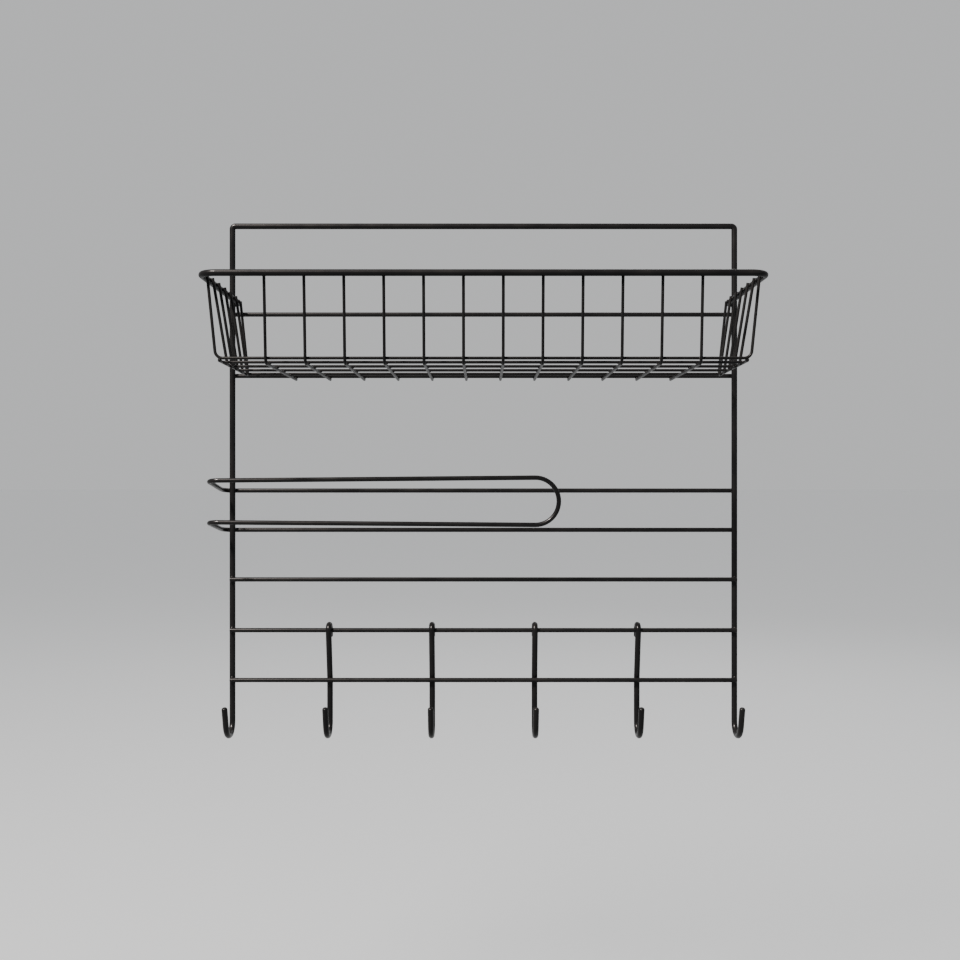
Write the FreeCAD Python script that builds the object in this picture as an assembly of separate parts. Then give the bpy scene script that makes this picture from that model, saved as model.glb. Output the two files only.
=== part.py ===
"""Wall rack of powder-coated steel wire: a basket, a paper-roll arm and a row of hooks on one bent frame.

Millimetres. X runs to the right, Z up and -Y out from the wall towards the user.
The origin is the middle of the frame's top bar, on the wire's axis, where the rack hangs.
Places are given as x, as the distance ahead of the posts' axes, and as the drop below the top bar.
"""
import FreeCAD
import Part
import math
import os

# Wire gauges
frame_wire_d = 5.2
rim_wire_d = 5.2
bar_wire_d = 4.0
basket_wire_d = 2.4
hook_wire_d = 5.2

# Frame: two posts and a top bar bent from one rod, whose lower ends turn up into hooks
post_spacing = 450.0
frame_corner_r = 2.8
bar_end_past_post = 1.3

# Drops of the wire axes below the top bar
rim_drop = 68.8
upper_basket_bar_drop = 78.5
basket_floor_drop = 137.0
towel_upper_drop = 237.0
towel_lower_drop = 272.4
middle_bar_drop = 316.3
hook_rail_upper_drop = 361.6
hook_rail_lower_drop = 406.1
hook_tip_drop = 425.4
hook_bottom_drop = 453.7

# Basket: a rim on the posts, wires down the front and along the floor, and a sill along each side
basket_reach = 151.4
rim_toe_in = 1.6
rim_tail = 2.6
front_lean = 6.9
side_lean = 6.7
wire_rise_past_rim = 1.5
front_bend_r = 6.0
riser_bend_r = 6.0
front_wire_count = 12
front_wire_margin = 36.6
front_wire_tail = 1.5
front_floor_wire_seat_deg = 30.0
floor_wire_count = 4
floor_wire_back_gap = 23.7
floor_wire_front_gap = 14.0
sill_riser_ahead = 9.4
side_wire_count = 5
side_wire_foot = 0.8
side_wire_back_gap = 19.1
side_wire_front_gap = 20.0

# Paper-roll arm: one rod, welded behind the posts, that bends forward past the left post
arm_reach = 55.4
arm_end_reach = 46.5
arm_leg_past_post = 9.5
arm_end_x = 64.6
arm_lift = 9.0
arm_bend_r = 9.0
arm_loop_r = 20.0
arm_loop_flat = 0.8

# Hooks
hook_r = 11.2
hook_front_r = 16.0
hook_flat = 0.6
hook_lean_deg = 18.0
hook_tip_round = 1.9
sliding_hook_count = 4
sliding_hook_pitch = 91.7
crook_tail = 7.0

# Room between wires
weld_gap = 0.02
rail_clearance = 0.3

# Points nearer than this count as one
same_place = 1e-3

# Places that follow from the sizes above
post_x = post_spacing / 2
bar_end_x = post_x + bar_end_past_post
post_to_bar = (frame_wire_d + bar_wire_d) / 2 + weld_gap
behind_posts = -post_to_bar
before_posts = post_to_bar
wire_pitch_at_weld = basket_wire_d + weld_gap
floor_wire_drop = basket_floor_drop - wire_pitch_at_weld
lower_basket_bar_drop = basket_floor_drop - (basket_wire_d + bar_wire_d) / 2 - weld_gap
basket_wire_top_drop = rim_drop - wire_rise_past_rim
rim_to_basket_wire = (rim_wire_d + basket_wire_d) / 2 + weld_gap
rim_back_x = post_x - (frame_wire_d + rim_wire_d) / 2 - weld_gap
hook_lean = math.radians(hook_lean_deg)
hook_mouth = hook_r + hook_flat + hook_front_r * math.tan((math.pi / 2 - hook_lean) / 2)
hook_flare = (hook_bottom_drop - hook_tip_drop) * math.tan(hook_lean)


def place(x, ahead, drop):
    """A point from its x, its distance ahead of the posts' axes and its drop below the top bar."""
    return FreeCAD.Vector(x, -ahead, -drop)


def bend(before, corner, after, radius):
    """Start, middle and end of the arc that rounds one corner of a rod's axis."""
    back = (before - corner).normalize()
    on = (after - corner).normalize()
    half_turn = (math.pi - back.getAngle(on)) / 2
    tangent = radius * math.tan(half_turn)
    inward = (back + on).normalize()
    centre = corner + inward * (radius / math.cos(half_turn))
    return corner + back * tangent, centre - inward * radius, corner + on * tangent


def rod_axis(points, radii):
    """A rod's axis: straight runs between the points, with an arc of the given radius at each inner one.

    Two bends with no straight run between them are halves of one arc.
    """
    edges = []
    start = points[0]
    for i, radius in enumerate(radii, 1):
        first, middle, last = bend(points[i - 1], points[i], points[i + 1], radius)
        if start.distanceToPoint(first) > same_place:
            edges.append(Part.LineSegment(start, first).toShape())
            arc_start = first
        else:
            edges.pop()
            middle = first
        edges.append(Part.Arc(arc_start, middle, last).toShape())
        start = last
    edges.append(Part.LineSegment(start, points[-1]).toShape())
    return Part.Wire(edges)


def rod(axis, diameter):
    """The solid of a round rod along its axis."""
    first = axis.OrderedEdges[0]
    outset = first.tangentAt(first.FirstParameter)
    section = Part.Wire(Part.makeCircle(diameter / 2, first.valueAt(first.FirstParameter), outset))
    sweep = Part.BRepOffsetAPI.MakePipeShell(axis)
    sweep.add(section)
    sweep.build()
    sweep.makeSolid()
    return sweep.shape()


def straight_rod(start, end, diameter):
    return rod(Part.Wire(Part.LineSegment(start, end).toShape()), diameter)


def with_round_tips(solid, tips, radius):
    """The rod with the rims of its end faces rounded at the given tips."""
    rims = [e for e in solid.Edges
            if e.isClosed() and any(e.CenterOfMass.distanceToPoint(t) < same_place for t in tips)]
    return solid.makeFillet(radius, rims)


def save(node, solid):
    solid.exportStep(f"parts/{node}.step")


def hook_points(x, shank_ahead):
    """Both corners and the tip of a hook that bends forward from its shank and leans out at the tip."""
    mouth_ahead = shank_ahead + hook_mouth
    return [place(x, shank_ahead, hook_bottom_drop), place(x, mouth_ahead, hook_bottom_drop),
            place(x, mouth_ahead + hook_flare, hook_tip_drop)]


def frame_rod():
    """Posts, top bar and both end hooks, bent from one rod."""
    def side(x):
        return [place(x, 0, 0)] + hook_points(x, 0)
    points = side(-post_x)[::-1] + side(post_x)
    radii = [frame_corner_r, hook_r, hook_front_r]
    solid = rod(rod_axis(points, radii[::-1] + radii), frame_wire_d)
    return with_round_tips(solid, [points[0], points[-1]], hook_tip_round)


def cross_bar(ahead, drop):
    """A straight bar from post to post."""
    return straight_rod(place(-bar_end_x, ahead, drop), place(bar_end_x, ahead, drop), bar_wire_d)


def towel_rod():
    """Both towel bars and the arm between them: the rod leaves the upper bar, loops and comes back."""
    leg_x = -post_x - arm_leg_past_post
    middle_drop = (towel_upper_drop + towel_lower_drop) / 2 - arm_lift
    loop_half = arm_loop_r + arm_loop_flat / 2
    points = [place(bar_end_x, behind_posts, towel_upper_drop),
              place(leg_x, behind_posts, towel_upper_drop),
              place(leg_x, arm_reach, towel_upper_drop - arm_lift),
              place(arm_end_x, arm_end_reach, middle_drop - loop_half),
              place(arm_end_x, arm_end_reach, middle_drop + loop_half),
              place(leg_x, arm_reach, towel_lower_drop - arm_lift),
              place(leg_x, behind_posts, towel_lower_drop),
              place(bar_end_x, behind_posts, towel_lower_drop)]
    radii = [arm_bend_r, arm_bend_r, arm_loop_r, arm_loop_r, arm_bend_r, arm_bend_r]
    return rod(rod_axis(points, radii), bar_wire_d)


def rim_x(ahead):
    """Half the rim's width, which narrows towards the front."""
    return rim_back_x - rim_toe_in * ahead / basket_reach


def basket_rim():
    """Front and both sides in one rod, whose ends lie against the posts' inner faces."""
    def side(sign):
        return [place(sign * rim_x(-rim_tail), -rim_tail, rim_drop),
                place(sign * rim_x(basket_reach), basket_reach, rim_drop)]
    points = side(-1) + side(1)[::-1]
    return rod(rod_axis(points, [rim_corner_r, rim_corner_r]), rim_wire_d)


front_angle = math.atan(front_lean / (basket_floor_drop - rim_drop))
front_wire_at_rim = basket_reach - rim_to_basket_wire / math.cos(front_angle)
front_wire_foot = front_wire_at_rim - front_lean
front_wire_head = front_wire_at_rim + wire_rise_past_rim * math.tan(front_angle)

# The front floor wire sits in the front wires' bend, at an angle below the level of the bend's centre.
bend_centre_ahead = front_wire_foot + front_bend_r * (math.tan(front_angle) - 1 / math.cos(front_angle))
seat_r = front_bend_r - wire_pitch_at_weld
seat_angle = math.radians(front_floor_wire_seat_deg)
front_floor_ahead = bend_centre_ahead + seat_r * math.cos(seat_angle)
front_floor_drop = basket_floor_drop - front_bend_r + seat_r * math.sin(seat_angle)

# The rim's corners start ahead of the front floor wire's risers, which meet it on its straight runs.
rim_corner_r = basket_reach - front_floor_ahead


# The sills' risers and the front floor wire's share one leaning plane; the side wires lean a little more.
side_fall = floor_wire_drop - rim_drop
side_angle = math.atan(side_lean / side_fall)
side_wire_angle = math.atan((side_lean + 2 * wire_pitch_at_weld) / side_fall)


def riser_x(ahead, drop):
    """The plane of the risers: against the rim's inner face, and leaning in below it."""
    top_x = rim_x(ahead) - rim_to_basket_wire / math.cos(side_angle)
    return top_x - side_lean * (drop - rim_drop) / side_fall


def sill_x(ahead):
    """The sills start under their risers and end inside the front floor wire's bends."""
    return riser_x(ahead, floor_wire_drop) - wire_pitch_at_weld * ahead / front_floor_ahead


def side_wire_x(ahead, drop):
    """The side wires run from the rim's inner face to the sill's inner face."""
    top_x = rim_x(ahead) - rim_to_basket_wire / math.cos(side_wire_angle)
    foot_x = sill_x(ahead) - wire_pitch_at_weld / math.cos(side_wire_angle)
    return top_x + (foot_x - top_x) * (drop - rim_drop) / side_fall


def front_wire(x):
    """One wire down the basket's front and back along its floor, under the lower basket bar."""
    points = [place(x, front_wire_head, basket_wire_top_drop),
              place(x, front_wire_foot, basket_floor_drop),
              place(x, behind_posts - front_wire_tail, basket_floor_drop)]
    return rod(rod_axis(points, [front_bend_r]), basket_wire_d)


def front_floor_wire():
    """The long wire in the front bend, whose ends rise to the rim at the front corners."""
    top_x = riser_x(front_floor_ahead, basket_wire_top_drop)
    foot_x = riser_x(front_floor_ahead, front_floor_drop)
    points = [place(-top_x, front_floor_ahead, basket_wire_top_drop),
              place(-foot_x, front_floor_ahead, front_floor_drop),
              place(foot_x, front_floor_ahead, front_floor_drop),
              place(top_x, front_floor_ahead, basket_wire_top_drop)]
    return rod(rod_axis(points, [riser_bend_r, riser_bend_r]), basket_wire_d)


def floor_wire(ahead):
    """One long wire on top of the front wires, between the sills."""
    end_x = sill_x(ahead + basket_wire_d / 2) - basket_wire_d / 2 - weld_gap
    ends = [place(x, ahead, floor_wire_drop) for x in (-end_x, end_x)]
    return straight_rod(*ends, basket_wire_d)


def side_sill(side):
    """The wire along one side of the floor, which turns up to the rim at the back."""
    front = front_floor_ahead - basket_wire_d / 2 - weld_gap
    points = [place(side * sill_x(front), front, floor_wire_drop),
              place(side * sill_x(sill_riser_ahead), sill_riser_ahead, floor_wire_drop),
              place(side * riser_x(sill_riser_ahead, rim_drop), sill_riser_ahead, rim_drop)]
    return rod(rod_axis(points, [riser_bend_r]), basket_wire_d)


def side_wire(side, ahead):
    """One wire of a basket side, welded inside the rim and inside the sill."""
    foot_drop = floor_wire_drop + side_wire_foot
    top = place(side * side_wire_x(ahead, basket_wire_top_drop), ahead, basket_wire_top_drop)
    foot = place(side * side_wire_x(ahead, foot_drop), ahead, foot_drop)
    return straight_rod(top, foot, basket_wire_d)


def sliding_hook(x):
    """A hook whose crook goes over the upper rail and whose shank passes behind the lower one."""
    crook_r = (bar_wire_d + hook_wire_d) / 2 + rail_clearance
    tilt = math.asin(2 * crook_r / (hook_rail_lower_drop - hook_rail_upper_drop))
    shank_ahead = before_posts - crook_r
    crook_front = before_posts + crook_r * math.tan((math.pi / 2 + tilt) / 2)
    crook_top_drop = hook_rail_upper_drop - crook_r
    points = [place(x, shank_ahead, hook_rail_upper_drop + crook_tail),
              place(x, shank_ahead, crook_top_drop),
              place(x, crook_front, crook_top_drop),
              place(x, shank_ahead, hook_rail_lower_drop - crook_r * math.tan(tilt / 2))]
    points += hook_points(x, shank_ahead)
    solid = rod(rod_axis(points, [crook_r, crook_r, crook_r, hook_r, hook_front_r]), hook_wire_d)
    return with_round_tips(solid, [points[0], points[-1]], hook_tip_round)


def spread(first, last, count):
    """Evenly spaced places from the first to the last."""
    return [first + (last - first) * i / (count - 1) for i in range(count)]


def build():
    os.makedirs("parts", exist_ok=True)
    save("frame_rod", frame_rod())
    save("upper_basket_bar", cross_bar(behind_posts, upper_basket_bar_drop))
    save("lower_basket_bar", cross_bar(behind_posts, lower_basket_bar_drop))
    save("towel_rod", towel_rod())
    save("middle_bar", cross_bar(before_posts, middle_bar_drop))
    save("hook_rail_upper", cross_bar(before_posts, hook_rail_upper_drop))
    save("hook_rail_lower", cross_bar(before_posts, hook_rail_lower_drop))
    save("basket_rim", basket_rim())
    save("basket_front_floor_wire", front_floor_wire())

    last_front_x = sill_x(front_floor_ahead) - front_wire_margin
    for i, x in enumerate(spread(-last_front_x, last_front_x, front_wire_count), 1):
        save(f"basket_front_wire_{i:02d}", front_wire(x))

    last_floor = front_floor_ahead - floor_wire_front_gap
    for i, ahead in enumerate(spread(floor_wire_back_gap, last_floor, floor_wire_count), 1):
        save(f"basket_floor_wire_{i}", floor_wire(ahead))

    first_side = sill_riser_ahead + side_wire_back_gap
    last_side = front_floor_ahead - side_wire_front_gap
    for name, side in (("left", -1), ("right", 1)):
        save(f"basket_sill_{name}", side_sill(side))
        for i, ahead in enumerate(spread(first_side, last_side, side_wire_count), 1):
            save(f"basket_side_wire_{name}_{i}", side_wire(side, ahead))

    row = sliding_hook_pitch * (sliding_hook_count - 1) / 2
    for i, x in enumerate(spread(-row, row, sliding_hook_count), 1):
        save(f"sliding_hook_{i}", sliding_hook(x))


build()
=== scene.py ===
"""Wall rack of black powder-coated wire: coats, weld beads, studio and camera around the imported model."""
import math

import bmesh
import bpy
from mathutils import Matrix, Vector, noise


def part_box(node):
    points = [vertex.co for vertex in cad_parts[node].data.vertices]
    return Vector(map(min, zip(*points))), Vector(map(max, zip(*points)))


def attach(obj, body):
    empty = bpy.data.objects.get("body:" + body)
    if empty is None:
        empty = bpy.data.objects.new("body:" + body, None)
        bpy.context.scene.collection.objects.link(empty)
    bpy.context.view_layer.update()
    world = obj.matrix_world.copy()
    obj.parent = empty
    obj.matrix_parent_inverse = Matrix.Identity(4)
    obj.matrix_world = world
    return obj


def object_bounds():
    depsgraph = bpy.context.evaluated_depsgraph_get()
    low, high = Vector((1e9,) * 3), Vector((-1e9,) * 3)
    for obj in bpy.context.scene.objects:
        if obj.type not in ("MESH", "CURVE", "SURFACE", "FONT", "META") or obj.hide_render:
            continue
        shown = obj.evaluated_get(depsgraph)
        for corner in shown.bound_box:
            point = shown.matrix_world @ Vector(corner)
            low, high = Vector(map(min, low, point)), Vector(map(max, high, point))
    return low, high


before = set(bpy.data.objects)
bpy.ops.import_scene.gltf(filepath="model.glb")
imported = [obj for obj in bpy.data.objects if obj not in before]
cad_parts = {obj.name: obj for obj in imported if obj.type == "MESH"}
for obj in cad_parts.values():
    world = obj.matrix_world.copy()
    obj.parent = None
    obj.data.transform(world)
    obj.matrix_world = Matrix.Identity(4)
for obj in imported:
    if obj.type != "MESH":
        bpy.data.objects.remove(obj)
cad_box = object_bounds()

X, Y, Z = (Vector(v) for v in ((1, 0, 0), (0, 1, 0), (0, 0, 1)))
SMALL = 1e-6

# Wire radii, in metres
FRAME_R = 0.0026
BAR_R = 0.0020
BASKET_R = 0.0012

# Lean of the basket's front wires and of its corner risers, and where the front floor wire sits in its bends
FRONT_LEAN = math.radians(5.8)
RISER_LEAN = math.radians(5.8)
SEAT_ANGLE = math.radians(30)

# Weld beads, as shares of the wire's radius except for the depth they sink in
BEAD_REACH = 1.55
BEAD_PINCH = 0.16
BEAD_ROOT = 0.8
BEAD_SUNK = 0.00005
BEAD_SIDES = 24
BEAD_STEPS = 6
BEAD_UNEVEN = 0.12
BEAD_LUMPS = 700.0
TOE_LIMIT = 0.95
SEAM_START = 0.96
SEAM_LENGTH = 1.3
SEAM_FLARE = 0.5
SEAM_CURVE = 1.5
DROP_R = 1.35

# Points this near to a wire's foremost one belong to its end face
FACE_DEPTH = BASKET_R / 10

# Powder coat: colours and reflection of the satin body
COAT_DEEP = (0.0022, 0.0022, 0.0024, 1)
COAT_PALE = (0.0038, 0.0037, 0.0037, 1)
COAT_SPECULAR = 0.05
COAT_IOR = 1.5

# The coat's thin glossy skin
SKIN_ROUGH = 0.2
SKIN_IOR = 1.3

# Dust and painted top sheen: a lighter film on upward faces, partly real dust and partly a painted highlight
# on the tops; its colour, and how much lies on top at most
DUST_AND_SHEEN = (0.060, 0.055, 0.050, 1)
DUST_AND_SHEEN_MOST = 0.05

# Sizes of the coat's patterns, in metres
MOTTLE_SIZE = 0.021
PEEL_SIZE = 0.0011
GRAIN_SIZE = 0.00024
DUST_AND_SHEEN_SIZE = 0.007

# Relief of the orange peel and of the grain: depths in metres, and how much of them shows
PEEL_DEPTH = 0.00006
PEEL_SHOWN = 0.35
GRAIN_DEPTH = 0.00002
GRAIN_SHOWN = 0.25
GRAIN_ROUGH = 0.04

# Camera: straight on, at the height of the rack's middle
VIEW_DISTANCE = 1.0314
VIEW_HEIGHT = -0.2275
IMAGE_PX = 960.0
LENS_PX = 1150.0
SENSOR_MM = 36.0
CENTRE_PX = 483.4

# Studio: surroundings, floor and lamps
SKY = (0.93, 0.94, 0.95, 1)
SKY_STRENGTH = 0.62
FLOOR_PAINT = (0.965, 0.97, 0.975, 1)
FLOOR_ROUGH = 0.9
FLOOR_HALF = 60.0
FLOOR_DROP = 0.30
LAMPS_AIM = (0.0, -0.05, -0.23)

# Each lamp's place, size, watts and tint, and whether it spares the floor
LAMPS = {
    "key": ((-1.2, -1.5, 1.7), 0.9, 60.0, (1.0, 0.96, 0.92), False),
    "glint": ((-1.2, -1.5, 1.7), 0.3, 430.0, (1.0, 0.90, 0.84), True),
    "fill": ((1.8, -1.6, 0.5), 1.6, 6.0, (0.92, 0.96, 1.0), False),
    "back": ((0.9, 1.9, 1.4), 1.2, 10.0, (1.0, 1.0, 1.0), False),
}


class Coat:
    """A material under construction: its node tree and the places that its patterns are read at."""

    def __init__(self, name, shift):
        self.material = bpy.data.materials.new(name)
        self.material.use_nodes = True
        self.tree = self.material.node_tree
        self.shader = self.tree.nodes["Principled BSDF"]
        place = self.tree.nodes.new("ShaderNodeTexCoord")
        moved = self.tree.nodes.new("ShaderNodeMapping")
        moved.inputs["Location"].default_value = shift
        self.link(place.outputs["Object"], moved.inputs["Vector"])
        self.place = moved.outputs["Vector"]

    def link(self, source, socket):
        self.tree.links.new(source, socket)

    def spots(self, size, detail, rough):
        """Cloudy noise whose spots are about that size, in metres."""
        tex = self.tree.nodes.new("ShaderNodeTexNoise")
        tex.inputs["Scale"].default_value = 1 / size
        tex.inputs["Detail"].default_value = detail
        tex.inputs["Roughness"].default_value = rough
        self.link(self.place, tex.inputs["Vector"])
        return tex.outputs["Fac"]

    def spread(self, value, low, high, to_low, to_high):
        """A value carried from one range to another."""
        span = self.tree.nodes.new("ShaderNodeMapRange")
        for socket, number in zip(span.inputs[1:5], (low, high, to_low, to_high)):
            socket.default_value = number
        self.link(value, span.inputs["Value"])
        return span.outputs["Result"]

    def math(self, operation, first, second):
        node = self.tree.nodes.new("ShaderNodeMath")
        node.operation = operation
        self.link(first, node.inputs[0])
        self.link(second, node.inputs[1])
        return node.outputs["Value"]

    def blend(self, factor, first, second):
        """One colour over another; the first may be a colour or another node's output."""
        node = self.tree.nodes.new("ShaderNodeMix")
        node.data_type = "RGBA"
        self.link(factor, node.inputs["Factor"])
        low, high = (socket for socket in node.inputs if socket.type == "RGBA")
        if isinstance(first, tuple):
            low.default_value = first
        else:
            self.link(first, low)
        high.default_value = second
        return next(socket for socket in node.outputs if socket.type == "RGBA")

    def bump(self, height, depth, strength, under=None):
        node = self.tree.nodes.new("ShaderNodeBump")
        node.inputs["Strength"].default_value = strength
        node.inputs["Distance"].default_value = depth
        self.link(height, node.inputs["Height"])
        if under:
            self.link(under, node.inputs["Normal"])
        return node.outputs["Normal"]

    def upward(self):
        """How far a surface faces up, from 0 at a slope to 1 on top."""
        normal = self.tree.nodes.new("ShaderNodeNewGeometry").outputs["Normal"]
        parts = self.tree.nodes.new("ShaderNodeSeparateXYZ")
        self.link(normal, parts.inputs["Vector"])
        return self.spread(parts.outputs["Z"], 0.5, 1.0, 0.0, 1.0)


def powder_coat(name, shift, rough_low, rough_high, skin):
    """Satin black powder coat: mottled tone, orange peel, fine grain, a glossy skin, and a light film on the
    tops that is partly dust and partly a painted highlight.
    """
    coat = Coat(name, shift)
    coat.shader.inputs["IOR"].default_value = COAT_IOR
    coat.shader.inputs["Specular IOR Level"].default_value = COAT_SPECULAR
    coat.shader.inputs["Coat Weight"].default_value = skin
    coat.shader.inputs["Coat Roughness"].default_value = SKIN_ROUGH
    coat.shader.inputs["Coat IOR"].default_value = SKIN_IOR
    mottle = coat.spots(MOTTLE_SIZE, 4.0, 0.55)
    peel = coat.spots(PEEL_SIZE, 2.0, 0.45)
    grain = coat.spots(GRAIN_SIZE, 3.0, 0.6)
    tone = coat.blend(coat.spread(mottle, 0.35, 0.68, 0.0, 1.0), COAT_DEEP, COAT_PALE)
    # A lighter film in patches on upward faces: partly dust, partly a painted highlight on the tops.
    dust_and_sheen_patches = coat.spread(coat.spots(DUST_AND_SHEEN_SIZE, 5.0, 0.65), 0.42, 0.72, 0.0, DUST_AND_SHEEN_MOST)
    dust_and_sheen = coat.math("MULTIPLY", coat.upward(), dust_and_sheen_patches)
    coat.link(coat.blend(dust_and_sheen, tone, DUST_AND_SHEEN), coat.shader.inputs["Base Color"])
    satin = coat.spread(mottle, 0.3, 0.7, rough_low, rough_high)
    fleck = coat.spread(grain, 0.3, 0.7, -GRAIN_ROUGH, GRAIN_ROUGH)
    coat.link(coat.math("ADD", satin, fleck), coat.shader.inputs["Roughness"])
    fine = coat.bump(grain, GRAIN_DEPTH, GRAIN_SHOWN)
    coat.link(coat.bump(peel, PEEL_DEPTH, PEEL_SHOWN, fine), coat.shader.inputs["Normal"])
    return coat.material


coats = {
    "frame_coat": powder_coat("frame_powder_coat", (0.0, 0.0, 0.0), 0.30, 0.40, 0.25),
    "basket_coat": powder_coat("basket_powder_coat", (0.37, 0.11, 0.23), 0.32, 0.42, 0.08),
    "hook_coat": powder_coat("hook_powder_coat", (0.71, 0.53, 0.19), 0.26, 0.36, 0.15),
}
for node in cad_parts.values():
    slot_name = node.data.materials[0].name
    node.data.materials.clear()
    node.data.materials.append(coats[slot_name])


def close_bead(bm, rings, first, last):
    """Joins rings of points into one closed bead between two inner points."""
    rows = [[bm.verts.new(p) for p in ring] for ring in rings]
    for low, high in zip(rows, rows[1:]):
        for i in range(BEAD_SIDES):
            j = (i + 1) % BEAD_SIDES
            bm.faces.new((low[i], low[j], high[j], high[i]))
    for ring, centre in ((rows[0], first), (rows[-1], last)):
        tip = bm.verts.new(centre)
        for i in range(BEAD_SIDES):
            bm.faces.new((ring[i], ring[(i + 1) % BEAD_SIDES], tip))


def uneven(point):
    """A bead's own swelling, from its place."""
    return 1 + BEAD_UNEVEN * noise.noise(point * BEAD_LUMPS)


def crossing_bead(bm, spot, out, along_a, along_b, radius_a, radius_b, end_b=None):
    """The saddle of metal round the spot where wire b lies across wire a, on the side that out points to.

    Where wire b ends near by, end_b leads from the spot to its end, and the bead stops there.
    """
    side = out.cross(along_a)
    across_a = side.normalized()
    across_b = out.cross(along_b).normalized()
    reach = BEAD_REACH * min(radius_a, radius_b)
    rings = [[] for _ in range(BEAD_STEPS + 1)]
    for i in range(BEAD_SIDES):
        turn = 2 * math.pi * i / BEAD_SIDES
        way = along_a * math.cos(turn) + side * math.sin(turn)
        slope_a = max(abs(way.dot(across_a)), SMALL)
        slope_b = max(abs(way.dot(across_b)), SMALL)
        swell = reach * uneven(spot + way * reach)
        toe_a = min(swell, TOE_LIMIT * radius_a / slope_a)
        toe_b = min(swell, TOE_LIMIT * radius_b / slope_b)
        if end_b and way.dot(end_b) > SMALL:
            toe_b = min(toe_b, TOE_LIMIT * end_b.length_squared / way.dot(end_b))
        low = math.sqrt(radius_a ** 2 - (toe_a * slope_a) ** 2) - radius_a - BEAD_SUNK
        high = radius_b - math.sqrt(radius_b ** 2 - (toe_b * slope_b) ** 2) + BEAD_SUNK
        for step, ring in enumerate(rings):
            t = step / BEAD_STEPS
            width = toe_a + (toe_b - toe_a) * t - BEAD_PINCH * reach * math.sin(math.pi * t)
            ring.append(spot + way * width + out * (low + (high - low) * t))
    close_bead(bm, rings, spot - out * radius_a * BEAD_ROOT, spot + out * radius_b * BEAD_ROOT)


def seam_bead(bm, spot, out, along_on, radius_end, radius_on):
    """The fillet round a wire's end where it runs, in the direction out, against the side of another."""
    across = out.cross(along_on)
    rings = [[] for _ in range(BEAD_STEPS + 1)]
    for i in range(BEAD_SIDES):
        turn = 2 * math.pi * i / BEAD_SIDES
        way = along_on * math.cos(turn) + across * math.sin(turn)
        slope = max(abs(math.sin(turn)), SMALL)
        flare = SEAM_FLARE * uneven(spot + way * radius_end)
        for step, ring in enumerate(rings):
            t = step / BEAD_STEPS
            width = min(radius_end * (SEAM_START + flare * t * t), TOE_LIMIT * radius_on / slope)
            drop = radius_on - math.sqrt(radius_on ** 2 - (width * slope) ** 2)
            back = SEAM_LENGTH * radius_end * (1 - t) ** SEAM_CURVE
            ring.append(spot + way * width + out * ((drop + BEAD_SUNK) * t - back))
    close_bead(bm, rings, spot - out * SEAM_LENGTH * radius_end, spot + out * radius_on * BEAD_ROOT)


def drop_bead(bm, spot, radius):
    """A round drop of weld metal."""
    rings = []
    for step in range(1, BEAD_STEPS + 1):
        down = math.pi * step / (BEAD_STEPS + 1)
        ring = []
        for i in range(BEAD_SIDES):
            turn = 2 * math.pi * i / BEAD_SIDES
            way = Z * math.cos(down) + (X * math.cos(turn) + Y * math.sin(turn)) * math.sin(down)
            ring.append(spot + way * radius * uneven(spot + way * radius))
        rings.append(ring)
    close_bead(bm, rings, spot + Z * radius, spot - Z * radius)


def middle(node):
    """The middle of a node's box."""
    low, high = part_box(node)
    return (low + high) / 2


def named(*starts):
    """The nodes whose names start so, in order."""
    return sorted(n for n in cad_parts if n.startswith(starts))


def towel_bar_heights():
    """Heights of both towel bars, from the rod's two ends at the right."""
    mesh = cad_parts["towel_rod"].data
    last_x = max(v.co.x for v in mesh.vertices)
    heights = [v.co.z for v in mesh.vertices if last_x - v.co.x < SMALL]
    return min(heights) + BAR_R, max(heights) - BAR_R


def frame_welds(bm):
    """Where the bars and the basket's rim meet the posts."""
    post_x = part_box("frame_rod")[1].x - FRAME_R
    past_post = (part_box("middle_bar")[1].x - post_x) * X
    cut_bars = [middle(n) for n in named("upper_basket_bar", "lower_basket_bar", "middle_bar", "hook_rail")]
    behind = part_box("towel_rod")[1].y - BAR_R
    towel_bars = [Vector((0, behind, z)) for z in towel_bar_heights()]
    for side in (-1, 1):
        for bar in cut_bars + towel_bars:
            out = Y * math.copysign(1, bar.y)
            spot = Vector((side * post_x, 0, bar.z)) + out * FRAME_R
            runs_on = side < 0 and bar in towel_bars
            crossing_bead(bm, spot, out, Z, X, FRAME_R, BAR_R, None if runs_on else side * past_post)
        spot = Vector((side * (post_x - FRAME_R), 0, middle("basket_rim").z))
        crossing_bead(bm, spot, -side * X, Z, Y, FRAME_R, FRAME_R)


def front_end(node):
    """The middle of a wire's end face, at the end that is furthest ahead."""
    points = [v.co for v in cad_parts[node].data.vertices]
    first_y = min(p.y for p in points)
    rim = [p for p in points if p.y - first_y < FACE_DEPTH]
    return sum(rim, Vector()) / len(rim)


def leaning_wire(low, high, side):
    """The top of a leaning wire's axis, the way up along it and the way in to the basket, from its box."""
    top_x = max(abs(low.x), abs(high.x)) - BASKET_R
    foot_x = min(abs(low.x), abs(high.x)) + BASKET_R
    lean = math.atan((top_x - foot_x) / (high.z - low.z))
    along = Vector((side * math.sin(lean), 0, math.cos(lean)))
    return Vector((side * top_x, (low.y + high.y) / 2, high.z)), along, along.cross(Y) * side


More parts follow.
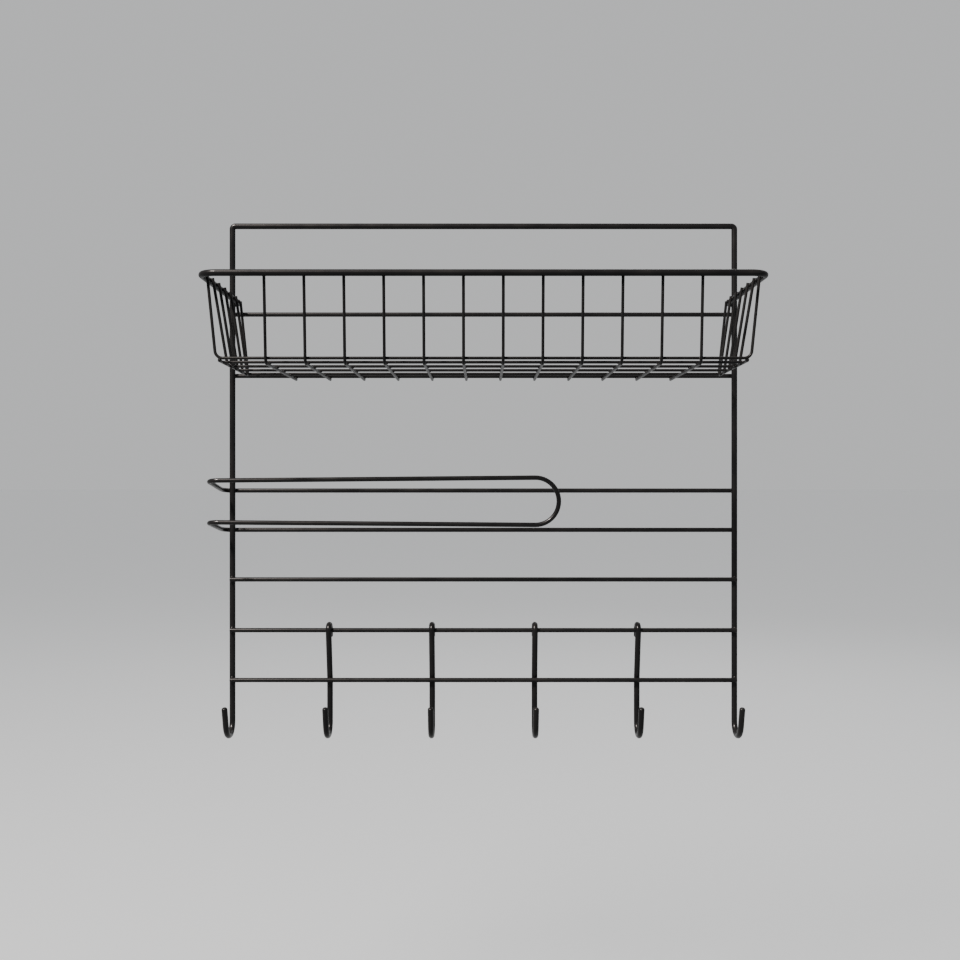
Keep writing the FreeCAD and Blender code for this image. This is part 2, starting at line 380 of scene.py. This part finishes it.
def basket_welds(bm):
    """Where the basket's wires meet each other, the rim and the lower basket bar."""
    rim_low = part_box("basket_rim")[0]
    rim_front, rim_z = rim_low.y + FRAME_R, rim_low.z + FRAME_R
    seat = middle("basket_front_floor_wire")
    seat.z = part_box("basket_front_floor_wire")[0].z + BASKET_R
    seat_out = -(Y * math.cos(SEAT_ANGLE) + Z * math.sin(SEAT_ANGLE))
    lean_out = Y * math.cos(FRONT_LEAN) + Z * math.sin(FRONT_LEAN)
    bar = middle("lower_basket_bar")
    floor = [middle(n) for n in named("basket_floor_wire")]
    front_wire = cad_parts["basket_front_floor_wire"].data
    for wire in named("basket_front_wire"):
        x = middle(wire).x * X
        rim = x + Vector((0, rim_front, rim_z))
        crossing_bead(bm, rim + lean_out * FRAME_R, lean_out, X, X.cross(lean_out), FRAME_R, BASKET_R)
        foot = x + Vector((0, seat.y, seat.z)) + seat_out * BASKET_R
        crossing_bead(bm, foot, seat_out, X, X.cross(seat_out), BASKET_R, BASKET_R)
        for run in floor:
            crossing_bead(bm, x + Vector((0, run.y, run.z - BASKET_R)), -Z, X, Y, BASKET_R, BASKET_R)
        crossing_bead(bm, x + Vector((0, bar.y, bar.z - BAR_R)), -Z, X, Y, BAR_R, BASKET_R)
    for name, side in (("left", -1), ("right", 1)):
        sill_low, sill_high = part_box(f"basket_sill_{name}")
        inward = Vector((-side * math.cos(RISER_LEAN), 0, math.sin(RISER_LEAN)))
        for node, y in (("basket_front_floor_wire", seat.y), (f"basket_sill_{name}", sill_high.y - BASKET_R)):
            low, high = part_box(node)
            top_x = max(abs(low.x), abs(high.x)) - BASKET_R
            axis = Vector((side * (top_x - (high.z - rim_z) * math.tan(RISER_LEAN)), y, rim_z))
            crossing_bead(bm, axis - inward * BASKET_R, inward, Y, Y.cross(inward), FRAME_R, BASKET_R)
        tip = front_end(f"basket_sill_{name}")
        corner = min((v.co for v in front_wire.vertices), key=lambda p: (p - tip).length)
        drop_bead(bm, (tip + corner) / 2, DROP_R * BASKET_R)
        sill_z = sill_low.z + BASKET_R
        for wire in named(f"basket_side_wire_{name}"):
            top, along, inward = leaning_wire(*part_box(wire), side)
            for z, radius in ((rim_z, FRAME_R), (sill_z, BASKET_R)):
                axis = top - along * ((top.z - z) / along.z)
                crossing_bead(bm, axis - inward * BASKET_R, inward, Y, along, radius, BASKET_R)
        for wire, run in zip(named("basket_floor_wire"), floor):
            end = Vector((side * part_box(wire)[1].x, run.y, run.z))
            seam_bead(bm, end, side * X, Y, BASKET_R, BASKET_R)


def weld_beads():
    """One piece of weld beads for the frame and one for the basket."""
    for slot, weld in (("frame_coat", frame_welds), ("basket_coat", basket_welds)):
        bm = bmesh.new()
        weld(bm)
        bmesh.ops.recalc_face_normals(bm, faces=bm.faces)
        for face in bm.faces:
            face.smooth = True
        name = slot.replace("coat", "weld_beads")
        mesh = bpy.data.meshes.new(name)
        bm.to_mesh(mesh)
        bm.free()
        mesh.materials.append(coats[slot])
        piece = bpy.data.objects.new(name, mesh)
        bpy.context.scene.collection.objects.link(piece)
        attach(piece, "rack")


weld_beads()


def studio():
    """Pale floor below the hanging rack, pale surroundings and soft lamps."""
    world = bpy.data.worlds.new("pale_surroundings")
    bpy.context.scene.world = world
    world.use_nodes = True
    sky = world.node_tree.nodes["Background"]
    sky.inputs["Color"].default_value = SKY
    sky.inputs["Strength"].default_value = SKY_STRENGTH

    mesh = bpy.data.meshes.new("floor")
    height = cad_box[0][2] - FLOOR_DROP
    around = ((-1, -1), (1, -1), (1, 1), (-1, 1))
    corners = [(x * FLOOR_HALF, y * FLOOR_HALF, height) for x, y in around]
    mesh.from_pydata(corners, [], [(0, 1, 2, 3)])
    floor = bpy.data.objects.new("floor", mesh)
    bpy.context.scene.collection.objects.link(floor)
    paint = bpy.data.materials.new("pale_floor")
    paint.use_nodes = True
    shader = paint.node_tree.nodes["Principled BSDF"]
    shader.inputs["Base Color"].default_value = FLOOR_PAINT
    shader.inputs["Roughness"].default_value = FLOOR_ROUGH
    mesh.materials.append(paint)

    floor_only = bpy.data.collections.new("floor_only")
    floor_only.objects.link(floor)
    floor_only.collection_objects[0].light_linking.link_state = "EXCLUDE"
    target = Vector(LAMPS_AIM)
    for name, (spot, size, watts, tint, spares_floor) in LAMPS.items():
        lamp = bpy.data.lights.new(name, "AREA")
        lamp.size = size
        lamp.energy = watts
        lamp.color = tint
        light = bpy.data.objects.new(name, lamp)
        light.location = spot
        light.rotation_euler = (target - Vector(spot)).to_track_quat("-Z", "Y").to_euler()
        bpy.context.scene.collection.objects.link(light)
        if spares_floor:
            light.light_linking.receiver_collection = floor_only


studio()

lens = bpy.data.cameras.new("camera")
lens.sensor_width = SENSOR_MM
lens.lens = LENS_PX / IMAGE_PX * SENSOR_MM
lens.shift_x = -(CENTRE_PX - IMAGE_PX / 2) / IMAGE_PX
camera = bpy.data.objects.new("camera", lens)
camera.location = (0.0, -VIEW_DISTANCE, VIEW_HEIGHT)
camera.rotation_euler = (math.radians(90), 0, 0)
bpy.context.scene.collection.objects.link(camera)
bpy.context.scene.camera = camera
